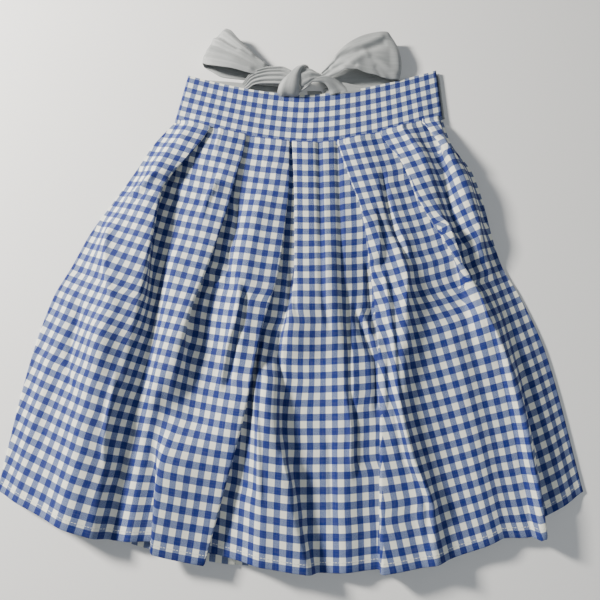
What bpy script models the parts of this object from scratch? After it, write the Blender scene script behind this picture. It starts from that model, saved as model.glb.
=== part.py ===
"""A gingham skirt with a wide waistband, box-to-knife pleats and a sash tied in a bow, laid flat.

The skirt lies front side up: +X is to the right across it, +Y runs from the hem to the waist and
+Z is up, with the surface it rests on at z = 0. Sizes are in millimetres until a mesh is made.
"Down" is the distance from the waist seam towards the hem, and "across" is the place along X.
Each skirt panel is a loft of cross-sections: runs of cloth joined by folds, each fold two turns
with a short inner run between them.
"""

import math

import bpy
import numpy as np

MM = 0.001

# Driving sizes of the cloth
WALL = 1.1
SEAM_GAP = 0.3
LAYER_PITCH = 1.5
BAND_WALL = 1.8
SASH_WALL = 1.1

# Driving sizes of the garment
SKIRT_LENGTH = 453.0
WAIST_SEAM_Y = 181.0
BAND_HEIGHT = 71.0
FRONT_CUT_AT_WAIST = 605.0
FRONT_CUT_AT_HEM = 690.0
BOW_KNOT = (5.0, 276.0)
KNOT_SIZE = (60.0, 36.0, 17.0)
KNOT_ROUNDING = 6.0

# The waistband's top edge: its ends across, its lowest place, and how far it rises to both ends
BAND_TOP_LEFT = -136.0
BAND_TOP_RIGHT = 166.0
BAND_TOP_LOWEST = 4.0
BAND_TOP_HALF = 151.0
BAND_TOP_RISE = 30.0
BAND_OVER_PLEATS = 1.0

# Lift of the skirt's back over the sash and the sash ends that lie under it
UNDER_LIFT = SASH_WALL + SEAM_GAP + 0.05
LIFT_STARTS_Y = 15.0
LIFT_FULL_Y = 45.0

# Sides of the laid skirt: distance down, across and height on the page of each side seam
LEFT_SIDE = (
    # down, across, y
    (0, -149, 216),
    (35, -171, 189),
    (79, -193, 150),
    (123, -216, 112),
    (166, -238, 76),
    (205, -254, 40),
    (250, -273, 2),
    (330, -292, -77),
    (453, -309, -199),
)
RIGHT_SIDE = (
    # down, across, y
    (0, 170, 220),
    (32, 178, 189),
    (78, 201, 150),
    (117, 211, 112),
    (154, 217, 76),
    (190, 225, 40),
    (230, 242, 6),
    (300, 266, -61),
    (453, 289, -200),
)

# The front's folds. At each distance down: where the fold's edge lies, the turn of its cloth in
# degrees (plus steps up to the right, minus steps down), and the length of its inner run.
STATIONS = (0, 20, 45, 90, 150, 220, 300, 380, 453)
FOLDS = {
    "left_pleat": {
        "across": (-106, -116, -130, -154, -161, -168, -179, -190, -197),
        "turn": (-180, -178, -170, -140, -115, -75, -50, -48, -55),
        "run": (23, 22, 19, 14, 9, 8, 8, 8, 9),
        "hem": (0, 0),
    },
    "left_middle_pleat": {
        "across": (-63, -66, -72, -81, -97, -117, -128, -143, -145),
        "turn": (-180, -180, -176, -165, -150, -115, -30, 75, 130),
        "run": (23, 23, 21, 17, 9, 8, 8, 8, 8),
        "hem": (9, 0),
    },
    "centre_pleat_left": {
        "across": (-12.5, -12.5, -12.5, -16, -23, -41, -55, -74, -92),
        "turn": (-180, -180, -178, -170, -160, -150, -130, -140, -155),
        "run": (11.5, 11.5, 11.5, 11, 8, 7, 7, 9, 13),
        "hem": (-1, 10),
    },
    "centre_pleat_right": {
        "across": (-9, -8, -7, -6, -6, -16, -23, -8, 12),
        "turn": (180, 180, 178, 168, 145, 40, -55, -70, -60),
        "run": (11.5, 11.5, 11.5, 11, 7, 6, 8, 9, 8),
        "hem": (0, -2),
    },
    "right_middle_pleat": {
        "across": (44, 49, 56, 69, 76, 81, 82, 79, 77),
        "turn": (180, 180, 175, 165, 152, 140, 130, 120, 105),
        "run": (23, 23, 21, 17, 9, 8, 6, 6, 6),
        "hem": (-1, -3),
    },
    "right_pleat": {
        "across": (94, 104, 117, 131, 159, 185, 198, 208, 214),
        "turn": (180, 172, 158, 146, 128, 70, 12, 6, 6),
        "run": (23, 20, 17, 13, 10, 7, 5, 5, 5),
        "hem": (2, -8),
    },
    "side_pleat": {
        "across": (144, 153, 163, 175, 186, 206, 225, 236, 241),
        "turn": (180, 150, 100, 60, 25, -35, -55, -100, -140),
        "run": (16, 11, 9, 8, 6, 7, 7, 6, 7),
        "hem": (-13, 3),
    },
}

# Soft ridges and hollows of the front: a name, the places its middle passes as (down, across),
# its height and its half-width
RIDGES = (
    ("left_side_ridge", ((60, -184), (138, -219), (222, -203), (300, -206)), 5.0, 15.0),
    ("left_edge_hollow", ((200, -240), (253, -243), (330, -254), (400, -268)), -2.0, 9.0),
    ("lower_left_ridge", ((250, -212), (309, -214), (389, -222), (453, -230)), 6.0, 17.0),
    ("left_panel_ridge", ((150, -133), (222, -146), (300, -152), (453, -169)), 4.0, 10.0),
    ("centre_bulge", ((70, -45), (120, -58), (190, -66), (250, -76)), 5.0, 15.0),
    ("lower_centre_ridge", ((250, -42), (300, -44), (350, -40), (453, -40)), 4.0, 11.0),
    ("centre_right_ridge", ((120, 30), (211, 40), (312, 46), (453, 44)), 5.0, 15.0),
    ("right_panel_ridge", ((130, 111), (190, 113), (306, 104), (380, 123), (453, 132)), 7.0, 10.0),
    ("right_waist_ridge", ((15, 130), (60, 148), (110, 160), (160, 172)), 5.0, 8.0),
    ("lower_right_ridge", ((230, 165), (300, 172), (380, 180), (453, 186)), 5.0, 18.0),
    ("right_side_ridge", ((60, 188), (120, 197), (170, 203), (210, 222)), 5.0, 8.0),
)
RIDGE_FADE = 45.0

# Turns of a fold: their arc length when the fold is pressed flat, and what opening adds
PRESSED_TURN = 2.4
OPEN_TURN = 9.0

# A fold's edge moves to its middle below this turn, folds beyond the next turn take up spare
# cloth, fully so once they are turned by the last figure more; each keeps a level place beside it
FLAT_TURN = 50.0
SPARE_CLOTH_TURN = 45.0
SPARE_CLOTH_FULL = 60.0
LEVEL_BESIDE_FOLD = 1.5

# The front over the back: clear of it at the side seams, higher inside them over both pleats
FRONT_CLEAR = 0.35
FRONT_OVER_PLEATS = 3.6
SIDE_SEAM_REACH = 26.0

# The skirt's back is pressed flat by its own weight: its pleats stay folded, narrower to the hem
BACK_STATIONS = (0, 120, 250, 453)
BACK_SHARES = (-0.72, -0.46, -0.2, 0.2, 0.46, 0.72)
BACK_OVERLAP = (22, 13, 6, 3)

# Rows of the two panels, as distances down, and the samples of each fold and run
FRONT_ROWS = (0, 12, 26, 45, 66, 90, 118, 150, 184, 220, 258, 300, 340, 380, 418, 453)
BACK_ROWS = (0, 20, 50, 90, 136, 160, 200, 260, 330, 395, 453)
TURN_STEPS = 3
INNER_STEPS = 2
RUN_STEPS = 5

NAVY_CHECK = (0.16, 0.26, 0.52, 1.0)
SASH_GREY = (0.42, 0.44, 0.43, 1.0)


def smooth_step(t):
    """The curve 3t^2 - 2t^3 held at 0 and 1 outside its range."""
    t = np.clip(t, 0.0, 1.0)
    return t * t * (3.0 - 2.0 * t)


def through(at, stations, values):
    """A smooth curve through the values at the stations that never overshoots between them."""
    x = np.asarray(stations, float)
    y = np.asarray(values, float)
    at = np.clip(np.asarray(at, float), x[0], x[-1])
    step = np.diff(x)
    rise = np.diff(y) / step
    slope = np.zeros(len(x))
    same_way = rise[:-1] * rise[1:] > 0
    safe = np.where(same_way, rise[:-1] + rise[1:], 1.0)
    slope[1:-1] = np.where(same_way, 2.0 * rise[:-1] * rise[1:] / safe, 0.0)
    slope[0] = rise[0]
    slope[-1] = rise[-1]
    i = np.clip(np.searchsorted(x, at, side="right") - 1, 0, len(x) - 2)
    t = (at - x[i]) / step[i]
    start = (1.0 + 2.0 * t) * (1.0 - t) ** 2 * y[i] + t * (1.0 - t) ** 2 * step[i] * slope[i]
    end = t * t * (3.0 - 2.0 * t) * y[i + 1] + t * t * (t - 1.0) * step[i] * slope[i + 1]
    return start + end


def side_at(table, down):
    """Across and y of a side seam at a distance down."""
    table = np.asarray(table, float)
    return through(down, table[:, 0], table[:, 1]), through(down, table[:, 0], table[:, 2])


def page_y(across, down):
    """Y of the row of cloth at a distance down: a smile that rises to both side seams."""
    left_x, left_y = side_at(LEFT_SIDE, down)
    right_x, right_y = side_at(RIGHT_SIDE, down)
    share = down / SKIRT_LENGTH
    middle_x = 8.0 * (1.0 - share)
    middle_y = WAIST_SEAM_Y - down
    left = np.clip((middle_x - across) / (middle_x - left_x), 0.0, None)
    right = np.clip((across - middle_x) / (right_x - middle_x), 0.0, None)
    left_power = 1.6 + 0.3 * share
    right_power = 1.6 + 1.0 * share
    return middle_y + (left_y - middle_y) * left**left_power + (right_y - middle_y) * right**right_power


def under_lift(y):
    """How far the sash and its ends lift the cloth above them off the surface."""
    return UNDER_LIFT * smooth_step((y - LIFT_STARTS_Y) / (LIFT_FULL_Y - LIFT_STARTS_Y))


def side_fall(across, down, reach):
    """0 at either side seam, rising smoothly to 1 once it is a reach away."""
    left_x, _ = side_at(LEFT_SIDE, down)
    right_x, _ = side_at(RIGHT_SIDE, down)
    return smooth_step((across - left_x) / reach) * smooth_step((right_x - across) / reach)


def ridge_height(across, down):
    """Sum of the front's soft ridges, each a bell across its path that fades at both ends."""
    height = np.zeros_like(across)
    for _, path, tall, wide in RIDGES:
        downs = [place[0] for place in path]
        middle = through(down, downs, [place[1] for place in path])
        fade_in = 1.0 if downs[0] <= 0 else smooth_step((down - downs[0]) / RIDGE_FADE + 0.5)
        reaches_hem = downs[-1] >= SKIRT_LENGTH
        fade_out = 1.0 if reaches_hem else smooth_step((downs[-1] - down) / RIDGE_FADE + 0.5)
        height += tall * fade_in * fade_out * np.exp(-(((across - middle) / wide) ** 2))
    return height


def fold_curve(turn, run):
    """Points of one fold from its left end: a turn, an inner run and the turn back.

    A plus turn carries the cloth up to its right-hand side. The points are (across, height)
    from the left end, and the edge is how far the fold's outermost point lies from that end; a
    fold that is nearly flat has no such point, and its edge is its middle.
    """
    angle = math.radians(max(abs(turn), 2.0))
    arc = PRESSED_TURN + OPEN_TURN * (1.0 - abs(turn) / 180.0)
    radius = max(arc / angle, LAYER_PITCH / 2)
    part = np.linspace(0.0, angle, TURN_STEPS + 1)
    first = np.column_stack([radius * np.sin(part), radius * (np.cos(part) - 1.0)])
    inner = np.linspace(0.0, run, INNER_STEPS + 1)[1:-1, None]
    way = np.array([math.cos(angle), -math.sin(angle)])
    middle = first[-1] + inner * way
    start = first[-1] + run * way
    back = part[::-1]
    second = np.column_stack(
        [
            start[0] + radius * (math.sin(angle) - np.sin(back)),
            start[1] + radius * (math.cos(angle) - np.cos(back)),
        ]
    )
    points = np.vstack([first, middle, second])
    drop = -points[-1, 1]
    points[:, 1] += drop
    length = points[-1, 0]
    folded = float(smooth_step(abs(turn) / FLAT_TURN))
    edge = length / 2 + (radius * math.sin(min(angle, math.pi / 2)) - length / 2) * folded
    if turn > 0:
        points = np.column_stack([length - points[::-1, 0], points[::-1, 1]])
        edge = length - edge
    return points, edge


def run_curve(start, end, level_from, level_to):
    """Points of a run of cloth between two folds: level, an S-shaped rise or fall, level."""
    t = np.linspace(0.0, 1.0, RUN_STEPS + 2)
    return np.column_stack(
        [start + (end - start) * t, level_from + (level_to - level_from) * smooth_step(t)]
    )


def laid_folds(down, folds, scale):
    """The folds of one section in their places: points, and the span each keeps level."""
    laid = []
    for fold in folds:
        turn = float(through(down, fold["at"], fold["turn"]))
        run = float(through(down, fold["at"], fold["run"]))
        spare = float(smooth_step((abs(turn) - SPARE_CLOTH_TURN) / SPARE_CLOTH_FULL))
        run *= 1.0 + (scale - 1.0) * spare
        points, edge = fold_curve(turn, run)
        points[:, 0] += float(through(down, fold["at"], fold["across"])) - edge
        span_start = points[:, 0].min() - LEVEL_BESIDE_FOLD
        span_end = points[:, 0].max() + LEVEL_BESIDE_FOLD
        laid.append((points, (span_start, span_end)))
    return laid


def section(down, folds, scale, side_level):
    """One cross-section as (across, height above the panel's base), from side seam to side seam."""
    left_x, _ = side_at(LEFT_SIDE, down)
    right_x, _ = side_at(RIGHT_SIDE, down)
    laid = laid_folds(down, folds, scale)
    pieces = []
    span_end, level = float(left_x), side_level
    for points, span in laid:
        pieces.append(run_curve(span_end, span[0], level, points[0, 1]))
        pieces.append(points)
        level = points[-1, 1]
        span_end = span[1]
    pieces.append(run_curve(span_end, float(right_x), level, side_level))
    return np.vstack(pieces)


def fold_marks(count):
    """Index of the first and last point of each fold in a section."""
    fold_points = 2 * (TURN_STEPS + 1) + INNER_STEPS - 1
    run_points = RUN_STEPS + 2
    first = run_points + np.arange(count) * (fold_points + run_points)
    return first, first + fold_points - 1


def cloth_length(points):
    """Length of cloth along a section."""
    return float(np.sum(np.linalg.norm(np.diff(points, axis=0), axis=1)))


def front_base(across, down):
    """Middle height of the front's lowest cloth: over the back's pleats, down at the sides."""
    side = 1.5 * WALL + SEAM_GAP + FRONT_CLEAR
    over_pleats = 2 * LAYER_PITCH + FRONT_OVER_PLEATS
    inside = side_fall(across, down, SIDE_SEAM_REACH)
    return side + over_pleats * inside + ridge_height(across, down) * inside


def front_points(down, folds):
    """Points of the front's section, its inner runs scaled so that the cloth keeps its cut."""
    share = down / SKIRT_LENGTH
    wanted = FRONT_CUT_AT_WAIST + (FRONT_CUT_AT_HEM - FRONT_CUT_AT_WAIST) * share
    low, high = 0.7, 1.3
    for _ in range(14):
        scale = (low + high) / 2
        profile = section(down, folds, scale, 0.0)
        y = page_y(profile[:, 0], down)
        z = profile[:, 1] + front_base(profile[:, 0], down)
        points = np.column_stack([profile[:, 0], y, z])
        if cloth_length(points) < wanted:
            low = scale
        else:
            high = scale
    firsts, lasts = fold_marks(len(folds))
    marks = np.concatenate([[0], np.column_stack([firsts, lasts]).ravel(), [len(points) - 1]])
    hems = np.concatenate([[0], [value for fold in folds for value in fold["hem"]], [0]])
    points[:, 1] += np.interp(np.arange(len(points)), marks, hems) * share**4
    points[:, 2] += under_lift(points[:, 1])
    return points


def back_points(down, folds):
    """Points of the back's section: its flat outer side down, its pleats folded inwards."""
    pressed = 4.0 * PRESSED_TURN / math.pi
    profile = section(down, folds, 1.0, pressed)
    y = page_y(profile[:, 0], down)
    z = WALL / 2 + pressed - profile[:, 1] + under_lift(y)
    return np.column_stack([profile[:, 0], y, z])


def walled(rows, wall):
    """Outer and inner points of a wall round the middle points of a set of rows."""
    rows = np.asarray(rows, float)
    along = np.diff(rows[:, :, ::2], axis=1)
    along /= np.linalg.norm(along, axis=2, keepdims=True)
    across = np.stack([-along[:, :, 1], along[:, :, 0]], axis=2)
    before = np.concatenate([across[:, :1], across], axis=1)
    after = np.concatenate([across, across[:, -1:]], axis=1)
    mitre = (before + after) / (1.0 + np.sum(before * after, axis=2, keepdims=True))
    offset = np.zeros_like(rows)
    offset[:, :, 0] = mitre[:, :, 0] * wall / 2
    offset[:, :, 2] = mitre[:, :, 1] * wall / 2
    return rows + offset, rows - offset


def closed_wall(outer, inner):
    """Vertices and faces of the closed solid between two equal grids of points."""
    rows, columns = outer.shape[:2]
    index = np.arange(rows * columns).reshape(rows, columns)
    under = index + rows * columns
    top = np.stack([index[:-1, :-1], index[1:, :-1], index[1:, 1:], index[:-1, 1:]], axis=-1)
    bottom = np.stack([under[:-1, :-1], under[:-1, 1:], under[1:, 1:], under[1:, :-1]], axis=-1)
    faces = [top.reshape(-1, 4), bottom.reshape(-1, 4)]
    rim = np.concatenate([index[0, :-1], index[:-1, -1], index[-1, :0:-1], index[:0:-1, 0]])
    ahead = np.roll(rim, -1)
    low = rows * columns
    faces.append(np.stack([rim, ahead, ahead + low, rim + low], axis=-1))
    vertices = np.concatenate([outer.reshape(-1, 3), inner.reshape(-1, 3)])
    return vertices, np.concatenate(faces)


def material(name, colour, roughness):
    """A plain Principled material."""
    made = bpy.data.materials.new(name)
    made.use_nodes = True
    shader = made.node_tree.nodes["Principled BSDF"]
    shader.inputs["Base Color"].default_value = colour
    shader.inputs["Roughness"].default_value = roughness
    made.diffuse_color = colour
    return made


def add_object(name, vertices, faces, finish):
    """A mesh object from points in millimetres, in the skirt's collection."""
    mesh = bpy.data.meshes.new(name)
    mesh.from_pydata((np.asarray(vertices) * MM).tolist(), [], np.asarray(faces).tolist())
    mesh.materials.append(finish)
    mesh.update()
    made = bpy.data.objects.new(name, mesh)
    bpy.data.collections["gingham_skirt"].objects.link(made)
    return made


def add_cloth(name, surface, wall, finish):
    """An open grid of middle points given its wall by a Solidify modifier."""
    rows, columns = surface.shape[:2]
    index = np.arange(rows * columns).reshape(rows, columns)
    faces = np.stack([index[:-1, :-1], index[1:, :-1], index[1:, 1:], index[:-1, 1:]], axis=-1)
    made = add_object(name, surface.reshape(-1, 3), faces.reshape(-1, 4), finish)
    solidify = made.modifiers.new("wall", "SOLIDIFY")
    solidify.thickness = wall * MM
    solidify.offset = 0.0
    solidify.use_even_offset = True
    made.data.shade_smooth()
    return made


def build_front(finish):
    """The skirt's front panel with its pleats."""
    folds = [dict(fold, at=STATIONS) for fold in FOLDS.values()]
    rows = [front_points(float(down), folds) for down in FRONT_ROWS]
    outer, inner = walled(rows, WALL)
    return add_object("skirt_front", *closed_wall(outer, inner), finish)


def build_back(finish):
    """The skirt's back panel, whose pleats face the sides and leave the middle panel flat."""
    folds = []
    for share in BACK_SHARES:
        across = []
        for down in BACK_STATIONS:
            left_x, _ = side_at(LEFT_SIDE, down)
            right_x, _ = side_at(RIGHT_SIDE, down)
            middle = (left_x + right_x) / 2
            across.append(float(middle + share * (right_x - left_x) / 2))
        turn = math.copysign(180.0, -share)
        folds.append(
            {
                "at": BACK_STATIONS,
                "across": across,
                "turn": [turn] * len(BACK_STATIONS),
                "run": BACK_OVERLAP,
            }
        )
    rows = [back_points(float(down), folds) for down in BACK_ROWS]
    outer, inner = walled(rows, WALL)
    return add_object("skirt_back", *closed_wall(outer, inner), finish)


def band_surface(height_at_seam, height_at_top):
    """Middle points of a waistband panel: from the curved seam up to its curved top edge."""
    columns = np.linspace(0.0, 1.0, 29)
    rises = np.linspace(0.0, 1.0, 5)
    left_foot, right_foot = LEFT_SIDE[0][1], RIGHT_SIDE[0][1]
    foot_x = left_foot + (right_foot - left_foot) * columns
    foot_y = page_y(foot_x, 0.0) + SEAM_GAP
    top_x = BAND_TOP_LEFT + (BAND_TOP_RIGHT - BAND_TOP_LEFT) * columns
    from_middle = np.abs(top_x - BAND_TOP_LOWEST) / BAND_TOP_HALF
    top_y = WAIST_SEAM_Y + BAND_HEIGHT + BAND_TOP_RISE * from_middle**1.6
    seam = height_at_seam(columns)
    surface = []
    for rise in rises:
        x = foot_x + (top_x - foot_x) * rise
        y = foot_y + (top_y - foot_y) * rise
        z = seam + (height_at_top - seam) * smooth_step(rise * 1.25)
        surface.append(np.column_stack([x, y, z + 0.0 * x]))
    return np.array(surface)


def build_bands(finish):
    """The waistband's back, and its front that rises over the pleats' top ends."""
    back_middle = UNDER_LIFT + BAND_WALL / 2
    front_low = UNDER_LIFT + BAND_WALL + SEAM_GAP + BAND_WALL / 2
    over_pleats = UNDER_LIFT + 4 * LAYER_PITCH + BAND_OVER_PLEATS
    left_share, right_share = 0.14, 0.1

    def back_seam(columns):
        return back_middle + 0.0 * columns

    def front_seam(columns):
        left_rise = smooth_step(columns / left_share)
        inside = left_rise * smooth_step((1.0 - columns) / right_share)
        return front_low + (over_pleats - front_low) * inside

    add_cloth("waistband_back", band_surface(back_seam, back_middle), BAND_WALL, finish)
    add_cloth("waistband_front", band_surface(front_seam, front_low), BAND_WALL, finish)


def strip(stations):
    """A strip of cloth on the surface from rows of (x, y) of its two long edges."""
    surface = []
    for first, second in stations:
        part = np.linspace(0.0, 1.0, 4)[:, None]
        row = np.asarray(first) + (np.asarray(second) - np.asarray(first)) * part
        surface.append(np.column_stack([row, np.full(len(row), SASH_WALL / 2)]))
    return np.array(surface)


# The sash under the waistband and its ends under the skirt: the two long edges, row by row
SASH_LEFT = (
    ((-146, 220), (-136, 277)),
    ((-115, 224), (-110, 275)),
    ((-75, 234), (-75, 272)),
    ((-45, 242), (-45, 268)),
    ((-22.8, 247), (-22.8, 266)),
)
SASH_RIGHT = (
    ((32.8, 250), (32.8, 274)),
    ((52, 246), (52, 266)),
    ((80, 236), (82, 259)),
    ((125, 226), (128, 250)),
    ((168, 222), (165, 280)),
)
TAIL_LEFT = (
    ((-16, 260.2), (-3, 260.2)),
    ((-28, 225), (-4, 225)),
    ((-48, 195), (-5, 195)),
    ((-60, 150), (-6, 150)),
    ((-66, 62), (-9, 48)),
)
TAIL_RIGHT = (
    ((9, 260.2), (26, 260.2)),
    ((12, 225), (38, 225)),
    ((13, 195), (57, 195)),
    ((14, 150), (70, 150)),
    ((16, 58), (78, 44)),
)


# The turn of the right sash round the waistband's end: its radius, and where it starts and ends
SASH_TURN = 1.5
SASH_TURN_STARTS = 4.0
SASH_TURN_ENDS = 2.6

# The bow's loops: the radius of the turn at the tip, and the height of the upper band at the knot
LOOP_TIP_RADIUS = 5.5
LOOP_MOUTH = 5.0


def build_sash(finish):
    """The sash from each side seam to the knot, and its two ends."""
    add_cloth("sash_left", strip(SASH_LEFT), SASH_WALL, finish)
    add_cloth("sash_tail_left", strip(TAIL_LEFT), SASH_WALL, finish)
    add_cloth("sash_tail_right", strip(TAIL_RIGHT), SASH_WALL, finish)
    flat = strip(SASH_RIGHT)
    edge = flat[-1]
    turned = []
    for angle in np.radians([30, 70, 110, 150, 180]):
        out = SASH_TURN * math.sin(angle) + SASH_TURN_STARTS
        turned.append(edge + np.array([out, 0.0, SASH_TURN * (1.0 - math.cos(angle))]))
    turned.append(edge + np.array([SASH_TURN_ENDS, 0.0, 2.0 * SASH_TURN]))
    before_turn = edge + np.array([SASH_TURN_STARTS - 0.4, 0.0, 0.0])
    flat = np.vstack([flat, [before_turn], turned])
    add_cloth("sash_right", flat, SASH_WALL, finish)


def loop_surface(root, tip, root_width, tip_width, height, lean):
    """A bow's loop: a band that leaves the knot, rises, turns round at the tip and comes back.

    Along the loop the height follows a half sine above the band that lies on the surface, and
    across it the band widens from the gathered root to the tip.
    """
    root, tip = np.asarray(root, float), np.asarray(tip, float)
    length = np.linalg.norm(tip - root)
    way = (tip - root) / length
    side = np.array([-way[1], way[0]])
    if side[1] < 0:
        side = -side
    low_z = SASH_WALL / 2
    root_low = SASH_WALL * 1.5 + SEAM_GAP + 0.1
    straight = length - LOOP_TIP_RADIUS
    out = np.linspace(0.0, 1.0, 9)
    round_end = np.radians(np.linspace(90.0, -90.0, 7))[1:-1]
    mouth_z = root_low + LOOP_MOUTH
    top_z = mouth_z + (2 * LOOP_TIP_RADIUS + low_z - mouth_z) * smooth_step(out)
    top_z += height * np.sin(math.pi * out**0.8) ** 1.2
    bottom_z = low_z + (root_low - low_z) * smooth_step((out - 0.3) / 0.35)
    along = np.concatenate(
        [straight * out, straight + LOOP_TIP_RADIUS * np.cos(round_end), straight * (1.0 - out)]
    )
    z = np.concatenate([top_z, low_z + LOOP_TIP_RADIUS * (1.0 + np.sin(round_end)), bottom_z])
    wide = root_width + (tip_width - root_width) * smooth_step(along / straight) ** 0.8
    across = np.linspace(-0.5, 0.5, 7)
    spread = across[None, :] * wide[:, None]
    shift = lean * spread * (along / length)[:, None]
    middle = root + (along[:, None, None] + shift[:, :, None]) * way
    plan = middle + spread[:, :, None] * side
    droop = 1.0 - 0.35 * (2.0 * np.abs(across)) ** 2
    lifted = low_z + (z - low_z)[:, None] * np.where(z[:, None] > 2 * low_z + 3, droop, 1.0)
    return np.concatenate([plan, lifted[:, :, None]], axis=2)


def build_bow(finish):
    """The bow's two loops and its knot, whose flat underside rests on the surface."""
    left = loop_surface((-29.7, 278), (-106, 312), 20.0, 58.0, 16.0, 0.0)
    right = loop_surface((37.9, 282), (118, 309), 20.0, 60.0, 18.0, -0.15)
    add_cloth("bow_loop_left", left, SASH_WALL, finish)
    add_cloth("bow_loop_right", right, SASH_WALL, finish)
    bpy.ops.mesh.primitive_cube_add(size=1.0)
    knot = bpy.context.object
    knot.name = "bow_knot"
    knot.data.name = "bow_knot"
    size = np.array(KNOT_SIZE)
    centre = np.array([*BOW_KNOT, size[2] / 2])
    for vertex in knot.data.vertices:
        vertex.co = ((np.array(vertex.co) * size + centre) * MM).tolist()
    bevel = knot.modifiers.new("rounding", "BEVEL")
    bevel.width = KNOT_ROUNDING * MM
    bevel.segments = 4
    knot.data.materials.append(finish)
    for collection in list(knot.users_collection):
        collection.objects.unlink(knot)
    bpy.data.collections["gingham_skirt"].objects.link(knot)


def main():
    """Clear the file, then build every piece into its collection."""
    for old in list(bpy.data.objects):
        bpy.data.objects.remove(old, do_unlink=True)
    collection = bpy.data.collections.new("gingham_skirt")
    bpy.context.scene.collection.children.link(collection)
    gingham = material("gingham", NAVY_CHECK, 0.85)
    grey = material("sash_grey", SASH_GREY, 0.7)
    build_front(gingham)
    build_back(gingham)
    build_bands(gingham)
    build_sash(grey)
    build_bow(grey)


main()
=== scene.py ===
"""The looks of a gingham skirt with a sash tied in a bow, laid flat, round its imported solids.

The skirt lies front side up: +X is to the right across it, +Y runs from the hem to the waist and
+Z is up, with the floor at z = 0. Sizes are in millimetres until a mesh is made. "Down" is the
distance from the waist seam towards the hem, and "across" is the place along X.
"""

import math

import bpy
import numpy as np
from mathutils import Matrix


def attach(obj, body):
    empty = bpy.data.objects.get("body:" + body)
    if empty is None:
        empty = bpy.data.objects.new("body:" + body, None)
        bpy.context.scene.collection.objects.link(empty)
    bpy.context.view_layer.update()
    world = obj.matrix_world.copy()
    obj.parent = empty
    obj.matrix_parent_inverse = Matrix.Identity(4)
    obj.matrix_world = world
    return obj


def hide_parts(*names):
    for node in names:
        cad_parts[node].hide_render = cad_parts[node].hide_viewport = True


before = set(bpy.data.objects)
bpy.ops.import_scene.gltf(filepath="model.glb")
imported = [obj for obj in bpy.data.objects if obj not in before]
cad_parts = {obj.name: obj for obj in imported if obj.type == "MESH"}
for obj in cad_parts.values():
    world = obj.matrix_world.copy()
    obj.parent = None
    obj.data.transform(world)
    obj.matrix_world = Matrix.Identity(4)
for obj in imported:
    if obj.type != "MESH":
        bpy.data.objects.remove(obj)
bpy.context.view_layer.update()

MM = 0.001

# Thickness of the woven cloths
GINGHAM_THICK = 0.5
SASH_THICK = 0.4

# The gingham's checks: one blue and one white stripe, across and along the cloth, and its yarns
CHECK_ACROSS = 12.7
CHECK_ALONG = 14.3
YARN_PITCH = 0.55

# A blue stripe reaches a quarter of the check either side of its middle, with a soft edge
STRIPE_FADES = (0.238, 0.262)

# Driving sizes of the solids that the cloth follows
WALL = 1.1
SEAM_GAP = 0.3
LAYER_PITCH = 1.5
BAND_WALL = 1.8
SASH_WALL = 1.1
SKIRT_LENGTH = 453.0
WAIST_SEAM_Y = 181.0
BAND_HEIGHT = 71.0
FRONT_CUT_AT_WAIST = 605.0
FRONT_CUT_AT_HEM = 690.0

# Room under the front's cloth: over the back's pleats, and at the side seams
FRONT_OVER_PLEATS = 3.6
SIDE_CLEAR = 0.35

# The sash under the skirt lifts the cloth by this much, and from the first y to the second
UNDER_LIFT = SASH_WALL + SEAM_GAP + 0.05
LIFT_STARTS_Y = 15.0
LIFT_FULL_Y = 45.0

# Rows of cloth smile: where their lowest point lies at the waist, the power of their rise to the
# sides, and how much that power grows by the hem on the left and on the right
LOWEST_AT_WAIST = 8.0
SMILE_POWER = 1.6
LEFT_POWER_GROWS = 0.3
RIGHT_POWER_GROWS = 1.0

# Sides of the laid skirt: distance down, across and height on the page of each side seam
LEFT_SIDE = (
    # down, across, y
    (0, -149, 216),
    (35, -171, 189),
    (79, -193, 150),
    (123, -216, 112),
    (166, -238, 76),
    (205, -254, 40),
    (250, -273, 2),
    (330, -292, -77),
    (453, -309, -199),
)
RIGHT_SIDE = (
    # down, across, y
    (0, 170, 220),
    (32, 178, 189),
    (78, 201, 150),
    (117, 211, 112),
    (154, 217, 76),
    (190, 225, 40),
    (230, 242, 6),
    (300, 266, -61),
    (453, 289, -200),
)

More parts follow.
